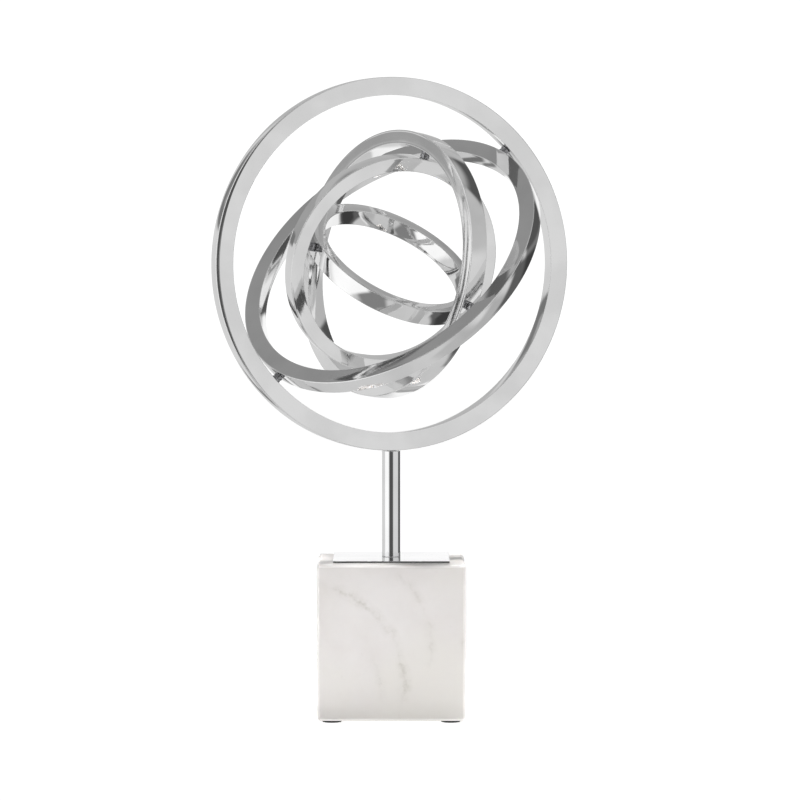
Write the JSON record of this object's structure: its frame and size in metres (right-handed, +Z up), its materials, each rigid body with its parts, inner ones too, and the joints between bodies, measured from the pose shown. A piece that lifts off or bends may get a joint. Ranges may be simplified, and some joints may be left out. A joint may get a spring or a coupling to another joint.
{
  "type": "armillary sphere",
  "caption": "Desk sculpture in the form of an armillary sphere: nested polished rings that turn one inside the other, on a post and a white marble block.",
  "frame": {"origin": "middle of the base, on the surface that the foot pads stand on", "axes": "+Z up, -Y towards the viewer of the front, +X to the viewer's right"},
  "size_m": [0.2426, 0.183, 0.4348],
  "materials": {
    "polished_ring": "hand-polished, mirror-like with soft waves",
    "polished_post": "polished",
    "polished_plate": "polished",
    "plated_steel": "satin",
    "collar_steel": "satin",
    "white_marble": "honed, with faint grey veins",
    "pad_rubber": "matt"
  },
  "bodies": {
    "stand": {"foot_pad_1": "pad_rubber", "foot_pad_2": "pad_rubber", "foot_pad_3": "pad_rubber", "foot_pad_4": "pad_rubber", "marble_block": "white_marble", "top_plate": "polished_plate", "tie_rod": "plated_steel", "tie_nut": "plated_steel", "tie_washer": "plated_steel", "post": "polished_post", "ring_stud": "plated_steel", "ring_1": "polished_ring", "pivot_1_pin_a": "plated_steel", "pivot_1_collar_a": "collar_steel", "pivot_1_pin_b": "plated_steel", "pivot_1_collar_b": "collar_steel"},
    "swing_2": {"ring_2": "polished_ring", "pivot_2_pin_a": "plated_steel", "pivot_2_collar_a": "collar_steel", "pivot_2_pin_b": "plated_steel", "pivot_2_collar_b": "collar_steel"},
    "swing_3": {"ring_3": "polished_ring", "pivot_3_pin_a": "plated_steel", "pivot_3_collar_a": "collar_steel", "pivot_3_pin_b": "plated_steel", "pivot_3_collar_b": "collar_steel"},
    "swing_4": {"ring_4": "polished_ring", "pivot_4_pin_a": "plated_steel", "pivot_4_collar_a": "collar_steel", "pivot_4_pin_b": "plated_steel", "pivot_4_collar_b": "collar_steel"},
    "swing_5": {"ring_5": "polished_ring"}
  },
  "joints": [
    {"name": "ring_2_turn", "type": "hinge", "parent": "stand", "child": "swing_2", "pos_m": [0, 0, 0.3078], "axis": [0.6872, 0.2501, 0.682], "continuous": true},
    {"name": "ring_3_turn", "type": "hinge", "parent": "swing_2", "child": "swing_3", "pos_m": [0, 0, 0.3078], "axis": [-0.5731, 0.7636, 0.2975], "continuous": true},
    {"name": "ring_4_turn", "type": "hinge", "parent": "swing_3", "child": "swing_4", "pos_m": [0, 0, 0.3078], "axis": [-0.2936, 0.1475, -0.9445], "continuous": true},
    {"name": "ring_5_turn", "type": "hinge", "parent": "swing_4", "child": "swing_5", "pos_m": [0, 0, 0.3078], "axis": [0.8675, 0.4561, -0.1985], "continuous": true}
  ]
}
